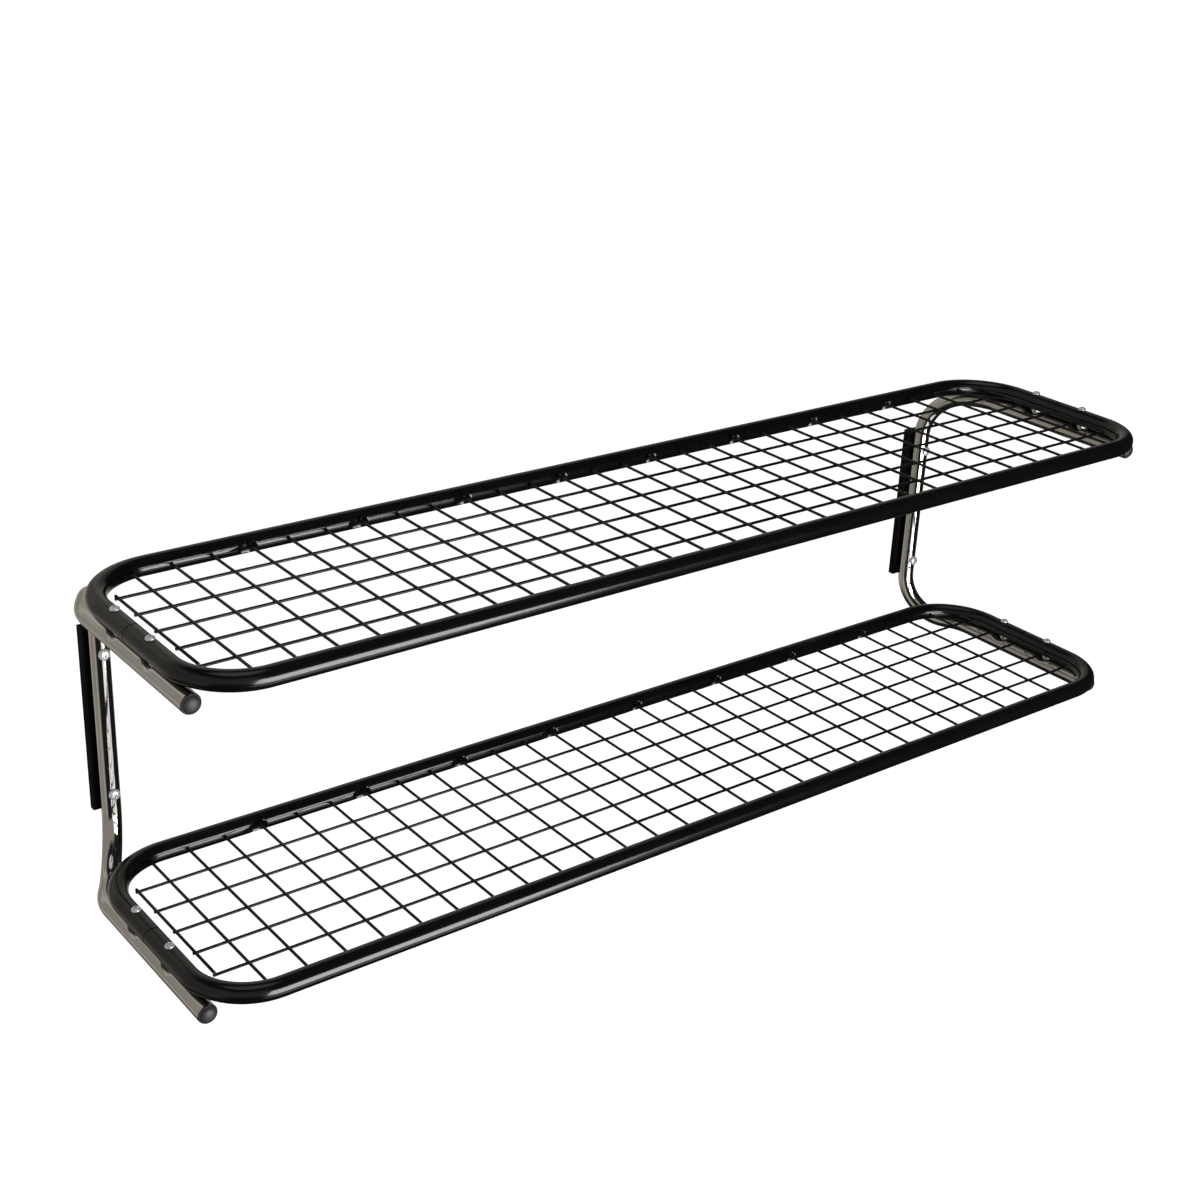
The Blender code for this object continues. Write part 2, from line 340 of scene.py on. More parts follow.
def patchiness_group():
    """A value that drifts between two limits over the surface, as handling and plating leave it."""
    group = bpy.data.node_groups.new("patchiness", "ShaderNodeTree")
    sockets(group,
            (("Vector", "NodeSocketVector", None), ("Scale", "NodeSocketFloat", 12.0),
             ("Low", "NodeSocketFloat", 0.1), ("High", "NodeSocketFloat", 0.2)),
            (("Value", "NodeSocketFloat"),))
    nodes, links = group.nodes, group.links
    entry = nodes.new("NodeGroupInput")
    leave = nodes.new("NodeGroupOutput")
    noise = nodes.new("ShaderNodeTexNoise")
    noise.inputs["Detail"].default_value = 6
    spread = nodes.new("ShaderNodeMapRange")
    spread.inputs["From Min"].default_value = 0.35
    spread.inputs["From Max"].default_value = 0.65
    links.new(entry.outputs["Vector"], noise.inputs["Vector"])
    links.new(entry.outputs["Scale"], noise.inputs["Scale"])
    links.new(noise.outputs["Fac"], spread.inputs["Value"])
    links.new(entry.outputs["Low"], spread.inputs["To Min"])
    links.new(entry.outputs["High"], spread.inputs["To Max"])
    links.new(spread.outputs["Result"], leave.inputs["Value"])
    return group


def two_tone_group():
    """A colour that drifts between two tones over the surface."""
    group = bpy.data.node_groups.new("two tone", "ShaderNodeTree")
    sockets(group,
            (("Vector", "NodeSocketVector", None), ("Scale", "NodeSocketFloat", 30.0),
             ("First", "NodeSocketColor", None), ("Second", "NodeSocketColor", None)),
            (("Color", "NodeSocketColor"),))
    nodes, links = group.nodes, group.links
    entry = nodes.new("NodeGroupInput")
    leave = nodes.new("NodeGroupOutput")
    noise = nodes.new("ShaderNodeTexNoise")
    noise.inputs["Detail"].default_value = 5
    blend = nodes.new("ShaderNodeMix")
    blend.data_type = "RGBA"
    spread = nodes.new("ShaderNodeMapRange")
    spread.inputs["From Min"].default_value = 0.4
    spread.inputs["From Max"].default_value = 0.6
    links.new(entry.outputs["Vector"], noise.inputs["Vector"])
    links.new(entry.outputs["Scale"], noise.inputs["Scale"])
    links.new(noise.outputs["Fac"], spread.inputs["Value"])
    links.new(spread.outputs["Result"], blend.inputs["Factor"])
    links.new(entry.outputs["First"], blend.inputs["A"])
    links.new(entry.outputs["Second"], blend.inputs["B"])
    links.new(blend.outputs["Result"], leave.inputs["Color"])
    return group


def grain_group():
    """Fine height grain: the orange peel of a lacquer or the moulded texture of a plastic."""
    group = bpy.data.node_groups.new("grain", "ShaderNodeTree")
    sockets(group,
            (("Vector", "NodeSocketVector", None), ("Scale", "NodeSocketFloat", 900.0),
             ("Detail", "NodeSocketFloat", 2.0)),
            (("Height", "NodeSocketFloat"),))
    nodes, links = group.nodes, group.links
    entry = nodes.new("NodeGroupInput")
    leave = nodes.new("NodeGroupOutput")
    noise = nodes.new("ShaderNodeTexNoise")
    links.new(entry.outputs["Vector"], noise.inputs["Vector"])
    links.new(entry.outputs["Scale"], noise.inputs["Scale"])
    links.new(entry.outputs["Detail"], noise.inputs["Detail"])
    links.new(noise.outputs["Fac"], leave.inputs["Height"])
    return group


class Finish:
    """One material: a Principled shader with the shared groups wired in front of it."""

    def __init__(self, name, plain):
        self.material = bpy.data.materials.new(name)
        self.material.use_nodes = True
        self.nodes = self.material.node_tree.nodes
        self.links = self.material.node_tree.links
        self.shader = self.nodes["Principled BSDF"]
        for socket, value in plain.items():
            self.shader.inputs[socket].default_value = value
        self.place = self.nodes.new("ShaderNodeTexCoord").outputs["Object"]

    def group(self, name, **values):
        made = self.nodes.new("ShaderNodeGroup")
        made.node_tree = bpy.data.node_groups[name]
        self.links.new(self.place, made.inputs["Vector"])
        for socket, value in values.items():
            made.inputs[socket].default_value = value
        return made

    def uneven(self, socket, scale, low, high):
        made = self.group("patchiness", Scale=scale, Low=low, High=high)
        self.links.new(made.outputs["Value"], self.shader.inputs[socket])

    def tones(self, scale, first, second):
        made = self.group("two tone", Scale=scale, First=(*first, 1), Second=(*second, 1))
        self.links.new(made.outputs["Color"], self.shader.inputs["Base Color"])

    def grained(self, scale, depth, detail=2.0, stretch=(1, 1, 1)):
        made = self.group("grain", Scale=scale, Detail=detail)
        mapping = self.nodes.new("ShaderNodeMapping")
        mapping.inputs["Scale"].default_value = stretch
        self.links.new(self.place, mapping.inputs["Vector"])
        self.links.new(mapping.outputs["Vector"], made.inputs["Vector"])
        bump = self.nodes.new("ShaderNodeBump")
        bump.inputs["Strength"].default_value = 1.0
        bump.inputs["Distance"].default_value = depth
        self.links.new(made.outputs["Height"], bump.inputs["Height"])
        self.links.new(bump.outputs["Normal"], self.shader.inputs["Normal"])


class Recipe(NamedTuple):
    """What one finish is made of. Grain depths are in metres, the scales are per metre."""

    colour: str                 # which colour of the Finishes settings it starts from
    darkened: float             # share of that colour that is kept
    second_tone: float          # the drifting second tone, as a share of the first
    tone_scale: float
    roughness: tuple            # scale, lowest and highest
    grain: tuple                # scale and depth, then detail and stretch where not the usual
    shader: dict                # what else the shader is set to


RECIPES = {
    "black lacquer": Recipe("lacquer", 1, 1.5, 14, (9, 0.14, 0.19), (700, 4e-6), {}),
    "black wire": Recipe("wire", 1, 1.6, 22, (30, 0.2, 0.3), (1100, 5e-6),
                         {"Specular IOR Level": 0.35}),
    "bright chrome": Recipe("chrome", 1, 0.95, 8, (16, 0.04, 0.07), (60, 6e-6), {"Metallic": 1.0}),
    "zinc plate": Recipe("zinc", 1, 0.8, 260, (180, 0.2, 0.38), (1500, 1e-5), {"Metallic": 0.75}),
    "cap plastic": Recipe("plastic", 1, 1.3, 60, (40, 0.42, 0.58), (1600, 3e-5, 4),
                          {"Specular IOR Level": 0.4}),
    "strip plastic": Recipe("plastic", 0.08, 1.4, 40, (24, 0.6, 0.75), (1300, 4e-5, 4),
                            {"Specular IOR Level": 0.06}),
    "plain steel": Recipe("steel", 1, 0.75, 50, (30, 0.3, 0.5), (400, 2e-5, 3, (1, 0.05, 1)),
                          {"Metallic": 1.0}),
}


def shade(colour, factor):
    return tuple(channel * factor for channel in colour)


def finish(name):
    """The named material, made from its recipe on first use."""
    if "grain" not in bpy.data.node_groups:
        patchiness_group()
        two_tone_group()
        grain_group()
    if name in bpy.data.materials:
        return bpy.data.materials[name]
    recipe = RECIPES[name]
    base = shade(getattr(bpy.context.scene.rack_finishes, recipe.colour), recipe.darkened)
    made = Finish(name, recipe.shader)
    made.tones(recipe.tone_scale, base, shade(base, recipe.second_tone))
    made.uneven("Roughness", *recipe.roughness)
    made.grained(*recipe.grain)
    return made.material


# ---- settings --------------------------------------------------------------
def length(name, description, default):
    return bpy.props.FloatProperty(name=name, description=description, default=default,
                                   min=0, unit="LENGTH", precision=4)


def whole(name, description, default):
    return bpy.props.IntProperty(name=name, description=description, default=default, min=3)


def colour(name, description, default):
    return bpy.props.FloatVectorProperty(name=name, description=description, default=default,
                                         subtype="COLOR", size=3, min=0, max=1)


def angle(name, description, degrees):
    return bpy.props.FloatProperty(name=name, description=description, subtype="ANGLE",
                                   default=math.radians(degrees))


class RACK_PG_frames(bpy.types.PropertyGroup):
    """Sizes of the black shelf frames"""

    tube: length("Tube", "Outside diameter of the frame tube", 0.016)
    wall: length("Wall", "Thickness of the tube's wall", 0.0012)
    seam: length("Seam", "Open joint between the two halves of a frame", 0.0003)
    lip: length("Lip", "Rounding of the halves' cut ends", 0.0005)
    front_corner: length("Front Corner", "Centre-line radius of the front corners", 0.050)
    rear_corner: length("Rear Corner", "Centre-line radius of the rear corners", 0.058)
    corner_steps: whole("Corner Steps", "Rings round one corner", 18)
    sides: whole("Sides", "Facets round the tube", 32)
    dent_depth: length("Dent Depth", "How far a crimp presses the rail in", 0.0038)
    dent_length: length("Dent Length", "Length of a crimp along the rail", 0.015)
    dent_turn: angle("Dent Turn", "How far above level a crimp faces", -16)
    dent_shift: length("Dent Shift", "How far a crimp's middle lies left of its wire", 0.002)
    dent_every: whole("Dent Every", "Wires from one crimp to the next", 3)
    hole_play: length("Hole Play", "Room round a wire in its hole", 0.0004)


class RACK_PG_wires(bpy.types.PropertyGroup):
    """Sizes of the welded meshes"""

    diameter: length("Diameter", "Diameter of every wire", 0.0025)
    pitch: length("Pitch", "Between cross wires", 0.1 / 3)
    long_pitch: length("Long Pitch", "Between long wires", 0.0332)
    long_wires: whole("Long Wires", "Number of long wires", 5)
    stub: length("Stub", "A wire runs on past the last one that it crosses", 0.001)
    shortest_end: length("Shortest End", "Least width of the end cells", 0.020)
    sunk: length("Sunk", "How far welded wires sink into each other", 0.0003)
    sides: whole("Sides", "Facets round a wire", 12)


class RACK_PG_brackets(bpy.types.PropertyGroup):
    """Sizes of the chromed brackets"""

    tube: length("Tube", "Outside diameter of the bracket tube", 0.016)
    wall: length("Wall", "Thickness of the tube's wall", 0.0012)
    bend: length("Bend", "Centre-line radius from the leg to an arm", 0.048)
    arm_bend: length("Arm Bend", "Centre-line radius that brings the arm back in line", 0.045)
    splay: angle("Splay", "How far the bend turns outwards", 30)
    lip: length("Lip", "Rounding of the arms' cut ends", 0.0003)
    seat_depth: length("Seat Depth", "How far the arm is pressed in under a shelf screw", 0.0022)
    seat_reach: length("Seat Reach", "How far that seat spreads", 0.0095)
    sides: whole("Sides", "Facets round the tube", 40)


class RACK_PG_small_parts(bpy.types.PropertyGroup):
    """Sizes of the caps, strips and screws"""

    cap_dome: length("Cap Dome", "Height of a cap's dome above its rim", 0.0032)
    cap_rim: length("Cap Rim", "Height of a cap's rim", 0.0012)
    strip_edge: length("Strip Edge", "Rounding of a strip's edges", 0.0009)
    shelf_head: length("Shelf Screw Head", "Head diameter", 0.0074)
    shelf_shank: length("Shelf Screw Shank", "Shank diameter", 0.004)
    wall_head: length("Wall Screw Head", "Head diameter", 0.0095)
    wall_shank: length("Wall Screw Shank", "Shank diameter", 0.005)


class RACK_PG_finishes(bpy.types.PropertyGroup):
    """Colours of the finishes"""

    lacquer: colour("Lacquer", "Gloss black lacquer of the frames", (0.0012, 0.0012, 0.0012))
    wire: colour("Wire", "Coating of the wires", (0.0015, 0.0015, 0.0015))
    chrome: colour("Chrome", "Polished chrome of the brackets", (0.65, 0.63, 0.59))
    zinc: colour("Zinc", "Plating of the screws", (0.68, 0.71, 0.70))
    plastic: colour("Plastic", "Caps, and darker for the strips", (0.012, 0.012, 0.012))
    steel: colour("Steel", "Plain steel of the hidden sleeves", (0.36, 0.36, 0.37))


class RACK_PG_stage(bpy.types.PropertyGroup):
    """Camera, floor and light"""

    azimuth: angle("Azimuth", "How far round to the left the camera stands", 38.305)
    elevation: angle("Elevation", "Camera's height above level", 23.999)
    roll: angle("Roll", "Camera's lean", 2.531)
    distance: length("Distance", "Camera to the point that it looks at", 1.7627)
    lens: bpy.props.FloatProperty(name="Lens", description="Focal length in millimetres",
                                  default=56.31, unit="CAMERA")
    floor_drop: length("Floor Drop", "Floor below the rack's lowest point", 1.6)
    softbox_width: length("Softbox Width", "Width of the softbox in front", 1.5)
    softbox_height: length("Softbox Height", "Height of the softbox in front", 1.36)
    brightness: bpy.props.FloatProperty(name="Brightness", description="Radiance of the softbox",
                                        default=10)
    room: colour("Room", "Grey wall behind and to the left, seen in the chrome", (0.355, 0.34, 0.305))


SETTINGS = {
    "rack_frames": RACK_PG_frames,
    "rack_wires": RACK_PG_wires,
    "rack_brackets": RACK_PG_brackets,
    "rack_small_parts": RACK_PG_small_parts,
    "rack_finishes": RACK_PG_finishes,
    "rack_stage": RACK_PG_stage,
}


# ---- wires -----------------------------------------------------------------
# Shares of a wire's diameter.
END_SOFTENING = 0.12
BEAD_RADIUS = 0.46
BEAD_FLATNESS = 0.55    # a bead's height, as a share of its width


def wire_places(level):
    """The mesh's end wires and first inner wire along X, and the number of inner wires."""
    wires = bpy.context.scene.rack_wires
    low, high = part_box(f"{level}_wire_mesh")
    first_end = low.x + wires.stub
    last_end = high.x - wires.stub
    cells = int((last_end - first_end - 2 * wires.shortest_end) / wires.pitch)
    first_inner = (first_end + last_end - cells * wires.pitch) / 2
    return first_end, last_end, first_inner, cells + 1


class RACK_OT_wire_meshes(bpy.types.Operator):
    """Weld the long wires under the cross wires of both shelves"""

    bl_idname = "rack.wire_meshes"
    bl_label = "Wire Meshes"

    def execute(self, context):
        for level in LEVELS:
            self.mesh(context.scene.rack_wires, level)
        return {"FINISHED"}

    def mesh(self, wires, level):
        name = f"{level}_wire_mesh"
        low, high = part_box(name)
        z = shelf_height(level)
        middle_y = (low.y + high.y) / 2
        half = (wires.long_wires - 1) / 2 * wires.long_pitch
        first_end, last_end, first_inner, count = wire_places(level)
        soft = wires.diameter * END_SOFTENING

        cross = rod((first_inner, low.y, z), (first_inner, high.y, z), wires.diameter, wires.sides)
        repeat(cross, count, (wires.pitch, 0, 0))
        reach = half + wires.stub
        end = rod((first_end, middle_y - reach, z), (first_end, middle_y + reach, z),
                  wires.diameter, wires.sides, soft)
        repeat(end, 2, (last_end - first_end, 0, 0))
        long_z = z - wires.diameter + wires.sunk
        long = rod((low.x, middle_y - half, long_z), (high.x, middle_y - half, long_z),
                   wires.diameter, wires.sides, soft)
        repeat(long, wires.long_wires, (0, wires.long_pitch, 0))

        weld_z = z - wires.diameter / 2 + wires.sunk / 2
        inner_welds = self.weld(wires, (first_inner, middle_y - half, weld_z))
        repeat(inner_welds, count, (wires.pitch, 0, 0))
        end_welds = self.weld(wires, (first_end, middle_y - half, weld_z))
        repeat(end_welds, 2, (last_end - first_end, 0, 0))
        welds = join([inner_welds, end_welds])
        repeat(welds, wires.long_wires, (0, wires.long_pitch, 0))

        mesh = join([cross, end, long, welds])
        smooth(mesh, 45)
        deliver(mesh, name.replace("wire_mesh", "welded_mesh"), finish("black wire"),
                "black_coated_wire", name)

    def weld(self, wires, place):
        """The flat bead that two resistance-welded wires squeeze out between them."""
        deselect_all()
        bpy.ops.mesh.primitive_uv_sphere_add(segments=8, ring_count=5, location=place,
                                             radius=wires.diameter * BEAD_RADIUS)
        bead = bpy.context.object
        bead.scale = (1, 1, BEAD_FLATNESS)
        settle(bead)
        return bead


# ---- shelf frames ----------------------------------------------------------
SIDE_RINGS = 12         # along the straight part of a frame's side
RAIL_RINGS = 40         # along a rail, beside the close rings at its crimps
RINGS_IN_A_DENT = 12
SHORTEST_RUN = 0.001    # no close ring stands nearer than this to the rail's ends
# Shares of a crimp's length, each way from its middle.
DENT_CORE = 0.2         # pressed to the full depth
DENT_REACH = 0.36       # where the dent has faded out
DENT_RINGS_REACH = 0.75     # where the close rings end


class RACK_OT_shelf_frames(bpy.types.Operator):
    """Bend the black tube halves, press their crimps and drill their holes"""

    bl_idname = "rack.shelf_frames"
    bl_label = "Shelf Frames"

    def execute(self, context):
        for level in LEVELS:
            for row in ROWS:
                self.half(context.scene, level, row)
        return {"FINISHED"}

    def half(self, scene, level, row):
        sizes = scene.rack_frames
        z = shelf_height(level)
        wall = TO_WALL[row]
        left, right = side_x("left"), side_x("right")
        rail = rail_y(row, sizes.tube)
        corner = sizes.rear_corner if row == "rear" else sizes.front_corner
        start_y = seam_y() + wall * sizes.seam / 2
        side_run = abs(rail - start_y) - corner
        rail_start = left + corner
        rail_run = right - left - 2 * corner

        tube = TubeDrawing((left, start_y, z), (0, wall, 0), sizes.tube, sizes.sides)
        tube.open_start(sizes.lip)
        tube.run(side_run - sizes.lip, SIDE_RINGS)
        tube.bend(corner, (0, 0, -wall), math.pi / 2, sizes.corner_steps)
        tube.run_to(self.stations(scene, level, rail_start, rail_run))
        tube.bend(corner, (0, 0, -wall), math.pi / 2, sizes.corner_steps)
        tube.run(side_run - sizes.lip, SIDE_RINGS)
        tube.close_end(sizes.lip)
        piece = tube.finish()

        inward = Vector((0, -wall, 0))
        out = inward * math.cos(sizes.dent_turn) + UP * math.sin(sizes.dent_turn)
        for x in self.dents(scene, level):
            spot = Vector((x - sizes.dent_shift, rail, z)) + out * sizes.tube / 2
            press(piece, spot, -out * sizes.dent_depth, sizes.dent_length * DENT_CORE,
                  sizes.dent_length * DENT_REACH, (1, 0, 0), "SPHERE")

        apply_modifier(piece, "SOLIDIFY", thickness=sizes.wall, offset=-1, use_rim=True)
        self.drill(scene, level, row, piece, rail, z)
        smooth(piece)
        deliver(piece, f"{level}_{row}_half_frame", finish("black lacquer"),
                "gloss_black_lacquer", f"{level}_frame_{row}")

    def dents(self, scene, level):
        _, _, first, count = wire_places(level)
        every = scene.rack_frames.dent_every
        return [first + index * scene.rack_wires.pitch for index in range(0, count, every)]

    def stations(self, scene, level, start, run):
        """Ring places along a rail: close together at the crimps, far apart between them."""
        sizes = scene.rack_frames
        reach = sizes.dent_length * DENT_RINGS_REACH
        fine = sizes.dent_length / RINGS_IN_A_DENT
        steps = int(reach / fine)
        places = {round(run * ring / RAIL_RINGS, 6) for ring in range(1, RAIL_RINGS + 1)}
        for x in self.dents(scene, level):
            centre = x - start
            places = {place for place in places if abs(place - centre) > reach or place == run}
            near = [centre + step * fine for step in range(-steps, steps + 1)]
            places |= {round(place, 6) for place in near
                       if SHORTEST_RUN < place < run - SHORTEST_RUN}
        return sorted(places | {round(run, 6)})

    def drill(self, scene, level, row, piece, rail, z):
        """Wire holes through the inner wall, and screw holes through top and bottom."""
        sizes, wires = scene.rack_frames, scene.rack_wires
        wall = TO_WALL[row]
        _, _, first, count = wire_places(level)
        size = wires.diameter + 2 * sizes.hole_play
        drills = rod((first, rail - wall * sizes.tube * 1.2, z), (first, rail, z), size, 12)
        repeat(drills, count, (wires.pitch, 0, 0))
        carve(piece, drills)
        for side in SIDES:
            hole = rod((side_x(side), screw_y(row), z - sizes.tube),
                       (side_x(side), screw_y(row), z + sizes.tube),
                       scene.rack_small_parts.shelf_shank + 2 * sizes.hole_play, 16)
            carve(piece, hole)


# ---- brackets --------------------------------------------------------------
ARM_RINGS = 90          # close enough together for the pressed seats
LEG_RINGS = 6
BEND_STEPS = 24
ARM_BEND_STEPS = 8
SEAT_HALF_LENGTH = 0.002


class RACK_OT_brackets(bpy.types.Operator):
    """Bend the two chromed brackets and press the seats for the shelf screws"""

    bl_idname = "rack.brackets"
    bl_label = "Brackets"

    def execute(self, context):
        for side in SIDES:
            self.bracket(context.scene, side)
        return {"FINISHED"}

    def bracket(self, scene, side):
        sizes = scene.rack_brackets
        name = f"{side}_bracket"
        low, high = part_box(name)
        out = OUTWARD[side]
        arm_x, arm_z, stand_x = side_x(side), arm_height("upper"), leg_x(side)
        leg_y = high.y - sizes.tube / 2 * CAD_FACET
        sine, cosine = math.sin(sizes.splay), math.cos(sizes.splay)
        inset = abs(arm_x - stand_x)
        splayed = (inset - sizes.bend * sine - sizes.arm_bend * (1 - cosine)) / sine
        arm_back = leg_y - (sizes.bend + splayed) * cosine - sizes.arm_bend * sine
        arm_run = arm_back - low.y
        leg_run = 2 * (arm_z - sizes.bend)

        tube = TubeDrawing((arm_x, low.y, arm_z), (0, 1, 0), sizes.tube, sizes.sides)
        tube.open_start(sizes.lip)
        tube.run(arm_run - sizes.lip, ARM_RINGS)
        tube.bend(sizes.arm_bend, (0, 0, out), sizes.splay, ARM_BEND_STEPS)
        tube.run(splayed)
        sideways = tube.heading.cross(-UP)
        tube.bend(sizes.bend, sideways, math.pi / 2, BEND_STEPS)
        tube.run(leg_run, LEG_RINGS)
        tube.bend(sizes.bend, sideways, math.pi / 2, BEND_STEPS)
        tube.run(splayed)
        tube.bend(sizes.arm_bend, (0, 0, -out), sizes.splay, ARM_BEND_STEPS)
        tube.run(arm_run - sizes.lip, ARM_RINGS)
        tube.close_end(sizes.lip)
        piece = tube.finish()

        for level in LEVELS:
            for row in ROWS:
                crown = Vector((arm_x, screw_y(row), arm_height(level) + sizes.tube / 2))
                press(piece, crown, (0, 0, -sizes.seat_depth), SEAT_HALF_LENGTH, sizes.seat_reach,
                      (0, 1, 0), "SMOOTH")
        apply_modifier(piece, "SOLIDIFY", thickness=sizes.wall, offset=-1, use_rim=True)
        smooth(piece)
        deliver(piece, f"{side}_chrome_bracket", finish("bright chrome"), "polished_chrome", name)


# ---- caps and strips -------------------------------------------------------
FINE_EDGE = 0.0002      # rounding of a cap's crisp edges, and its lift off the arm's end
SOFT_EDGE = 0.0003      # rounding of a cap's lower rim, and depth of the groove round its dome
PLUG_PLAY = 0.0003      # room round a cap's plug, and behind it
PLUG_LEAD = 0.0012      # length of the plug's tapered tip
PLUG_TIP = 0.88         # the tip's radius, as a share of the plug's
RIM_INSET = 0.45        # how far the rim stays inside the arm, as a share of its wall
GROOVE = (0.93, 0.91, 0.89)     # outer edge, bottom and inner edge, as shares of the rim's radius
DOME_STEPS = 9
DOME_TOP = 0.02         # the least radius on a dome, as a share of the dome's
STRIP_HOLE_PLAY = 0.0008


class RACK_OT_end_caps(bpy.types.Operator):
    """Mould the domed caps in the open ends of the arms"""

    bl_idname = "rack.end_caps"
    bl_label = "End Caps"

    def execute(self, context):
        for level in LEVELS:
            for side in SIDES:
                self.cap(context.scene, level, side)
        return {"FINISHED"}

    def cap(self, scene, level, side):
        parts, tube = scene.rack_small_parts, scene.rack_brackets
        node = f"{level}_{side}_end_cap"
        low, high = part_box(node)
        plug_length = high.y - low.y - parts.cap_rim - parts.cap_dome - PLUG_PLAY
        cap = turned(self.profile(parts, tube, plug_length), 40)
        place = Vector((side_x(side), high.y - plug_length, arm_height(level)))
        cap.matrix_world = Matrix.Translation(place) @ Matrix.Rotation(math.pi / 2, 4, "X")
        settle(cap)
        smooth(cap, 40)
        deliver(cap, f"{level}_{side}_domed_cap", finish("cap plastic"), "black_plastic", node)

    def profile(self, parts, tube, plug_length):
        """Radii and heights from the plug's tip, over the rim and its groove, to the dome's top."""
        rim = tube.tube / 2 - tube.wall * RIM_INSET
        plug = tube.tube / 2 - tube.wall - PLUG_PLAY
        groove_outer, groove_bottom, dome = (rim * share for share in GROOVE)
        top = parts.cap_rim
        profile = [
            (plug * PLUG_TIP, -plug_length), (plug, PLUG_LEAD - plug_length), (plug, FINE_EDGE),
            (rim - SOFT_EDGE, FINE_EDGE), (rim, FINE_EDGE + SOFT_EDGE), (rim, top - FINE_EDGE),
            (rim - FINE_EDGE, top), (groove_outer, top), (groove_bottom, top - SOFT_EDGE), (dome, top)]
        for step in range(1, DOME_STEPS + 1):
            turn = step / DOME_STEPS * math.pi / 2
            profile.append((dome * max(math.cos(turn), DOME_TOP),
                            top + parts.cap_dome * math.sin(turn)))
        return profile


class RACK_OT_wall_strips(bpy.types.Operator):
    """Cut the flat strips that keep the legs off the wall"""

    bl_idname = "rack.wall_strips"
    bl_label = "Wall Strips"

    def execute(self, context):
        parts = context.scene.rack_small_parts
        for side in SIDES:
            node = f"{side}_wall_strip"
            low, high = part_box(node)
            deselect_all()
            bpy.ops.mesh.primitive_cube_add(size=1, location=(low + high) / 2)
            strip = bpy.context.object
            strip.scale = high - low
            settle(strip)
            edit(strip)
            select_faces(strip, lambda face: face.normal.y < -0.9)
            bpy.ops.mesh.bevel(offset=parts.strip_edge, segments=4, affect="EDGES")
            leave_edit()
            for level in LEVELS:
                place = middle(f"{side}_{level}_wall_screw")
                hole = rod((place.x, low.y * 2, place.z), (place.x, -low.y, place.z),
                           parts.wall_shank + STRIP_HOLE_PLAY, 20)
                carve(strip, hole)
            smooth(strip)
            deliver(strip, f"{side}_backing_strip", finish("strip plastic"), "black_plastic", node)
        return {"FINISHED"}


# ---- screws ----------------------------------------------------------------
# A recess blade's length and width, as shares of the head's diameter.
BLADE_LENGTH = 0.56
BLADE_WIDTH = 0.13
BLADE_TAPER = 0.45      # what is left of both at the recess's bottom
BLADE_BOTTOM = 0.3      # height of that bottom, as a share of the head's height
BLADE_HEIGHT = 0.9
# Shares of the shank's diameter.
TIP_RADIUS = 0.12
TIP_LENGTH = 0.55
# Shares of the head's height, and the curve of its crown.
HEAD_CHAMFER = 0.06
HEAD_WALL = 0.32
CROWN_STEPS = 7
CROWN_FULLNESS = 0.7    # under 1 gives a pan head's flat top and round shoulder
CROWN_TOP = 0.04        # the least radius on the crown, as a share of the head's diameter


def cross_cutter(head, height):
    """Two tapered blades crossed, pointing down, for the recess in a screw's head."""
    blades = []
    for quarter in (0, 1):
        deselect_all()
        middle_z = height * (BLADE_BOTTOM + BLADE_HEIGHT / 2)
        bpy.ops.mesh.primitive_cube_add(size=1, location=(0, 0, middle_z))
        blade = bpy.context.object
        blade.scale = (head * BLADE_LENGTH, head * BLADE_WIDTH, height * BLADE_HEIGHT)
        blade.rotation_euler.z = quarter * math.pi / 2
        settle(blade)
        edit(blade)
        select_faces(blade, lambda face: face.normal.z < -0.9)
        bpy.ops.transform.resize(value=(BLADE_TAPER, BLADE_TAPER, 1),
                                 center_override=(0, 0, height * BLADE_BOTTOM))
        leave_edit()
        blades.append(blade)
    apply_modifier(blades[0], "BOOLEAN", operation="UNION", object=blades[1], solver="EXACT")
    bpy.data.objects.remove(blades[1])
    return blades[0]


def pan_screw(shank, reach, head, height):
    """A pan-head screw along Z, its head's underside at zero and its tip at -reach."""
    chamfer = height * HEAD_CHAMFER
    profile = [(shank * TIP_RADIUS, -reach), (shank / 2, -reach + shank * TIP_LENGTH), (shank / 2, 0),
               (head / 2 - chamfer, 0), (head / 2, chamfer), (head / 2, height * HEAD_WALL)]
    for step in range(1, CROWN_STEPS + 1):
        turn = step / CROWN_STEPS * math.pi / 2
        profile.append((max(head / 2 * math.cos(turn) ** CROWN_FULLNESS, head * CROWN_TOP),
                        height * (HEAD_WALL + (1 - HEAD_WALL) * math.sin(turn))))
    screw = turned(profile, 28)
    carve(screw, cross_cutter(head, height))
    return screw


class RACK_OT_shelf_screws(bpy.types.Operator):
    """Turn the eight screws that hold the shelves down on the arms"""

    bl_idname = "rack.shelf_screws"
    bl_label = "Shelf Screws"

    def execute(self, context):
        parts = context.scene.rack_small_parts
        index = 0
        for level in LEVELS:
            crown = shelf_height(level) + context.scene.rack_frames.tube / 2
            for side in SIDES:
                for row in ROWS:
                    node = f"{level}_{side}_{row}_shelf_screw"
                    low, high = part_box(node)
                    screw = pan_screw(parts.shelf_shank, crown - low.z, parts.shelf_head,
                                      high.z - crown)
                    screw.rotation_euler.z = math.radians(17 + 31 * index)    # no two alike
                    screw.location = (side_x(side), screw_y(row), crown)
                    settle(screw)
                    smooth(screw, 30)
                    deliver(screw, node.replace("shelf_screw", "pan_screw"), finish("zinc plate"),
                            "zinc_plate", node)
                    index += 1
        return {"FINISHED"}


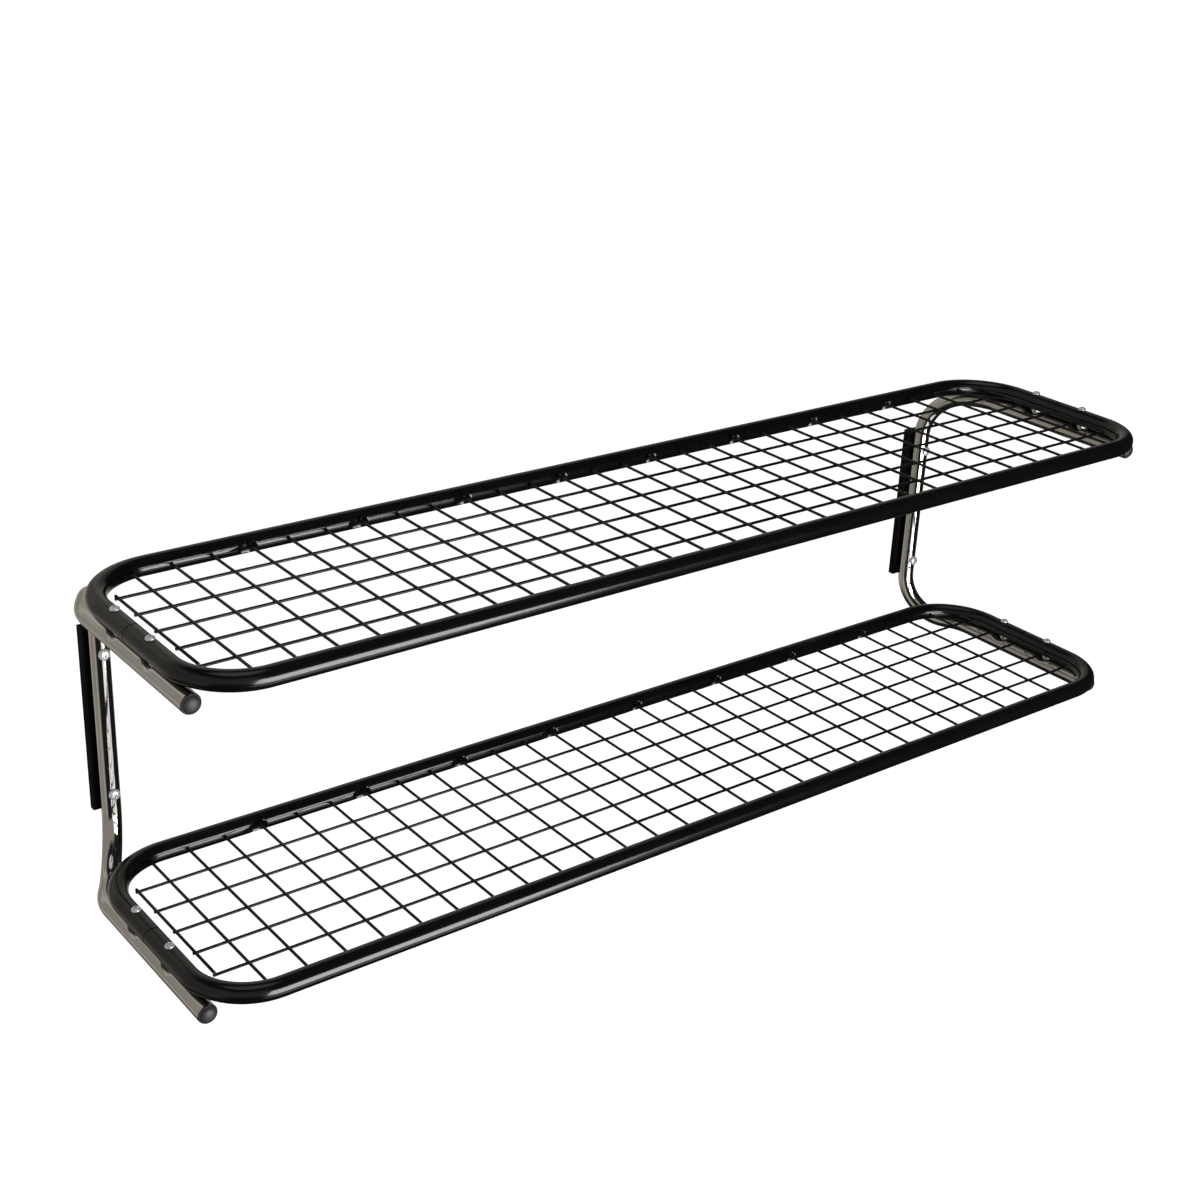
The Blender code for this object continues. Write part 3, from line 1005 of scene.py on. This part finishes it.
class RACK_OT_wall_screws(bpy.types.Operator):
    """Turn the four screws that go through the legs and the strips"""

    bl_idname = "rack.wall_screws"
    bl_label = "Wall Screws"

    def execute(self, context):
        parts = context.scene.rack_small_parts
        tube = context.scene.rack_brackets.tube
        index = 0
        for side in SIDES:
            _, bracket_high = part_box(f"{side}_bracket")
            front = bracket_high.y - tube / 2 * CAD_FACET - tube / 2
            for level in LEVELS:
                node = f"{side}_{level}_wall_screw"
                low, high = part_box(node)
                screw = pan_screw(parts.wall_shank, high.y - front, parts.wall_head, front - low.y)
                place = middle(node)
                screw.matrix_world = (Matrix.Translation((place.x, front, place.z))
                                      @ Matrix.Rotation(math.pi / 2, 4, "X")
                                      @ Matrix.Rotation(math.radians(24 + 37 * index), 4, "Z"))
                settle(screw)
                smooth(screw, 30)
                deliver(screw, f"{side}_{level}_wall_pan_screw", finish("zinc plate"),
                        "zinc_plate", node)
                index += 1
        return {"FINISHED"}


class RACK_OT_splice_sleeves(bpy.types.Operator):
    """Give the hidden sleeves inside the frames' sides their steel finish"""

    bl_idname = "rack.splice_sleeves"
    bl_label = "Splice Sleeves"

    def execute(self, context):
        for level in LEVELS:
            for side in SIDES:
                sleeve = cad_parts[f"{level}_{side}_splice"]
                for socket in sleeve.material_slots:
                    socket.material = finish("plain steel")
        return {"FINISHED"}


# ---- stage -----------------------------------------------------------------
CAMERA_AIM = Vector((0.0281, -0.0256, -0.0059))
LIGHT_AIM = (-0.2, -0.2, 0)
LIGHT_LEAN = math.radians(-10)
SOFTBOX_PLACE = (0.2, -2.15, -0.23)
REFLECTOR_PLACE = (0.04, -1.36, -0.93)
# The reflector's width, height and radiance, as shares of the softbox's.
REFLECTOR_SHARES = (0.8, 0.56, 0.12)
FLOOR_TONE = (0.93, 0.93, 0.93)
FLOOR_SECOND_TONE = (0.95, 0.95, 0.95)
WHITE_STRENGTH = 1.15
DARK_TONE = (0.014, 0.014, 0.015)
CEILING_TONE = (0.8, 0.8, 0.8)


def area_light(name, place, width, height, radiance):
    data = bpy.data.lights.new(name, "AREA")
    data.shape = "RECTANGLE"
    data.size, data.size_y = width, height
    data.energy = radiance * math.pi * width * height
    light = bpy.data.objects.new(name, data)
    bpy.context.scene.collection.objects.link(light)
    light.location = place
    facing = (Vector(LIGHT_AIM) - Vector(place)).to_track_quat("-Z", "Y").to_matrix()
    light.rotation_euler = (facing @ Matrix.Rotation(LIGHT_LEAN, 3, "Z")).to_euler()
    light.visible_camera = False


class RACK_OT_stage(bpy.types.Operator):
    """Set the pale floor, the soft lights and the camera"""

    bl_idname = "rack.stage"
    bl_label = "Stage"

    def execute(self, context):
        settings = context.scene.rack_stage
        low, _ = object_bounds()
        self.floor(low.z - settings.floor_drop)
        self.world(context.scene, settings)
        width, height = settings.softbox_width, settings.softbox_height
        wider, taller, brighter = REFLECTOR_SHARES
        area_light("front softbox", SOFTBOX_PLACE, width, height, settings.brightness)
        area_light("low reflector", REFLECTOR_PLACE, width * wider, height * taller,
                   settings.brightness * brighter)
        self.camera(context.scene, settings)
        context.scene.view_settings.view_transform = "Standard"
        return {"FINISHED"}

    def floor(self, height):
        deselect_all()
        bpy.ops.mesh.primitive_plane_add(size=60, location=(0, 0, height))
        floor = bpy.context.object
        floor.name = "pale_floor"
        settle(floor)
        made = Finish("pale floor", {"Roughness": 0.9})
        made.tones(0.6, FLOOR_TONE, FLOOR_SECOND_TONE)
        floor.data.materials.append(made.material)
        floor.visible_glossy = False
        floor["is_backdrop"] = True

    def world(self, scene, settings):
        """White for the camera and for soft light, but a dim room for reflections.

        That room is dark, with grey walls behind and to the left, and a pale ceiling overhead.
        Each wall is a pair of soft-edged limits: round the compass, and from low to high.
        """
        world = bpy.data.worlds.new("studio")
        world.use_nodes = True
        nodes, links = world.node_tree.nodes, world.node_tree.links
        white = nodes["Background"]
        white.inputs["Color"].default_value = (1, 1, 1, 1)
        white.inputs["Strength"].default_value = WHITE_STRENGTH
        toward = nodes.new("ShaderNodeTexCoord").outputs["Generated"]
        split = nodes.new("ShaderNodeSeparateXYZ")
        links.new(toward, split.inputs["Vector"])

        def ramp(value, start, end):
            """Nothing at start, all at end, softly between; start may be the higher one."""
            made = nodes.new("ShaderNodeMapRange")
            made.interpolation_type = "SMOOTHSTEP"
            made.inputs["From Min"].default_value = start
            made.inputs["From Max"].default_value = end
            links.new(value, made.inputs["Value"])
            return made.outputs["Result"]

        def both(first, second):
            made = nodes.new("ShaderNodeMath")
            made.operation = "MULTIPLY"
            links.new(first, made.inputs[0])
            links.new(second, made.inputs[1])
            return made.outputs["Value"]

        def heading(x, y):
            """How far the direction looked in points the given way along the ground."""
            made = nodes.new("ShaderNodeVectorMath")
            made.operation = "DOT_PRODUCT"
            made.inputs[1].default_value = (x, y, 0)
            links.new(toward, made.inputs[0])
            return made.outputs["Value"]

        def blend(factor, first, second):
            """Mix two tones; each is a colour or the output of an earlier mix."""
            made = nodes.new("ShaderNodeMix")
            made.data_type = "RGBA"
            links.new(factor, made.inputs["Factor"])
            for socket, tone in (("A", first), ("B", second)):
                if isinstance(tone, bpy.types.NodeSocket):
                    links.new(tone, made.inputs[socket])
                else:
                    made.inputs[socket].default_value = (*tone, 1)
            return made.outputs["Result"]

        height = split.outputs["Z"]
        room = tuple(settings.room)
        patches = nodes.new("ShaderNodeTexNoise")
        patches.inputs["Scale"].default_value = 2.2
        patches.inputs["Detail"].default_value = 1
        links.new(toward, patches.inputs["Vector"])
        wall = blend(ramp(patches.outputs["Fac"], 0.35, 0.65), shade(room, 0.72), shade(room, 1.3))
        back_wall = both(ramp(heading(-0.5, 0.866), -0.12, 0.22),
                         both(ramp(height, -0.75, -0.45), ramp(height, 0.85, 0.6)))
        left_wall = both(ramp(heading(-0.94, -0.34), 0.1, 0.4),
                         both(ramp(height, -0.3, -0.1), ramp(height, 0.8, 0.5)))
        tone = blend(back_wall, DARK_TONE, wall)
        tone = blend(left_wall, tone, shade(room, 0.9))
        tone = blend(ramp(height, 0.93, 0.97), tone, CEILING_TONE)
        seen = nodes.new("ShaderNodeBackground")
        links.new(tone, seen.inputs["Color"])
        rays = nodes.new("ShaderNodeLightPath")
        mix = nodes.new("ShaderNodeMixShader")
        links.new(rays.outputs["Is Glossy Ray"], mix.inputs["Fac"])
        links.new(white.outputs["Background"], mix.inputs[1])
        links.new(seen.outputs["Background"], mix.inputs[2])
        links.new(mix.outputs["Shader"], nodes["World Output"].inputs["Surface"])
        scene.world = world

    def camera(self, scene, settings):
        data = bpy.data.cameras.new("camera")
        data.lens = settings.lens
        camera = bpy.data.objects.new("camera", data)
        scene.collection.objects.link(camera)
        turn = (Matrix.Rotation(-settings.azimuth, 4, "Z")
                @ Matrix.Rotation(math.pi / 2 - settings.elevation, 4, "X")
                @ Matrix.Rotation(settings.roll, 4, "Z"))
        camera.matrix_world = (Matrix.Translation(CAMERA_AIM) @ turn
                               @ Matrix.Translation((0, 0, settings.distance)))
        scene.camera = camera


OPERATORS = (
    RACK_OT_wire_meshes,
    RACK_OT_shelf_frames,
    RACK_OT_brackets,
    RACK_OT_end_caps,
    RACK_OT_wall_strips,
    RACK_OT_shelf_screws,
    RACK_OT_wall_screws,
    RACK_OT_splice_sleeves,
    RACK_OT_stage,
)


class RACK_PT_pieces(bpy.types.Panel):
    """Lists the rack's pieces in the sidebar"""

    bl_label = "Wire Shelf Wall Rack"
    bl_idname = "RACK_PT_pieces"
    bl_space_type = "VIEW_3D"
    bl_region_type = "UI"
    bl_category = "Rack"

    def draw(self, context):
        for operator in OPERATORS:
            self.layout.operator(operator.bl_idname)


def register():
    for made in (*SETTINGS.values(), *OPERATORS, RACK_PT_pieces):
        bpy.utils.register_class(made)
    for name, group in SETTINGS.items():
        setattr(bpy.types.Scene, name, bpy.props.PointerProperty(type=group))


def unregister():
    for name in SETTINGS:
        delattr(bpy.types.Scene, name)
    for made in (RACK_PT_pieces, *reversed(OPERATORS), *reversed(SETTINGS.values())):
        bpy.utils.unregister_class(made)


def main():
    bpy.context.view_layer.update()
    register()
    bpy.ops.rack.wire_meshes()
    bpy.ops.rack.shelf_frames()
    bpy.ops.rack.brackets()
    bpy.ops.rack.end_caps()
    bpy.ops.rack.wall_strips()
    bpy.ops.rack.shelf_screws()
    bpy.ops.rack.wall_screws()
    bpy.ops.rack.splice_sleeves()
    bpy.ops.rack.stage()


if __name__ == "__main__":
    main()
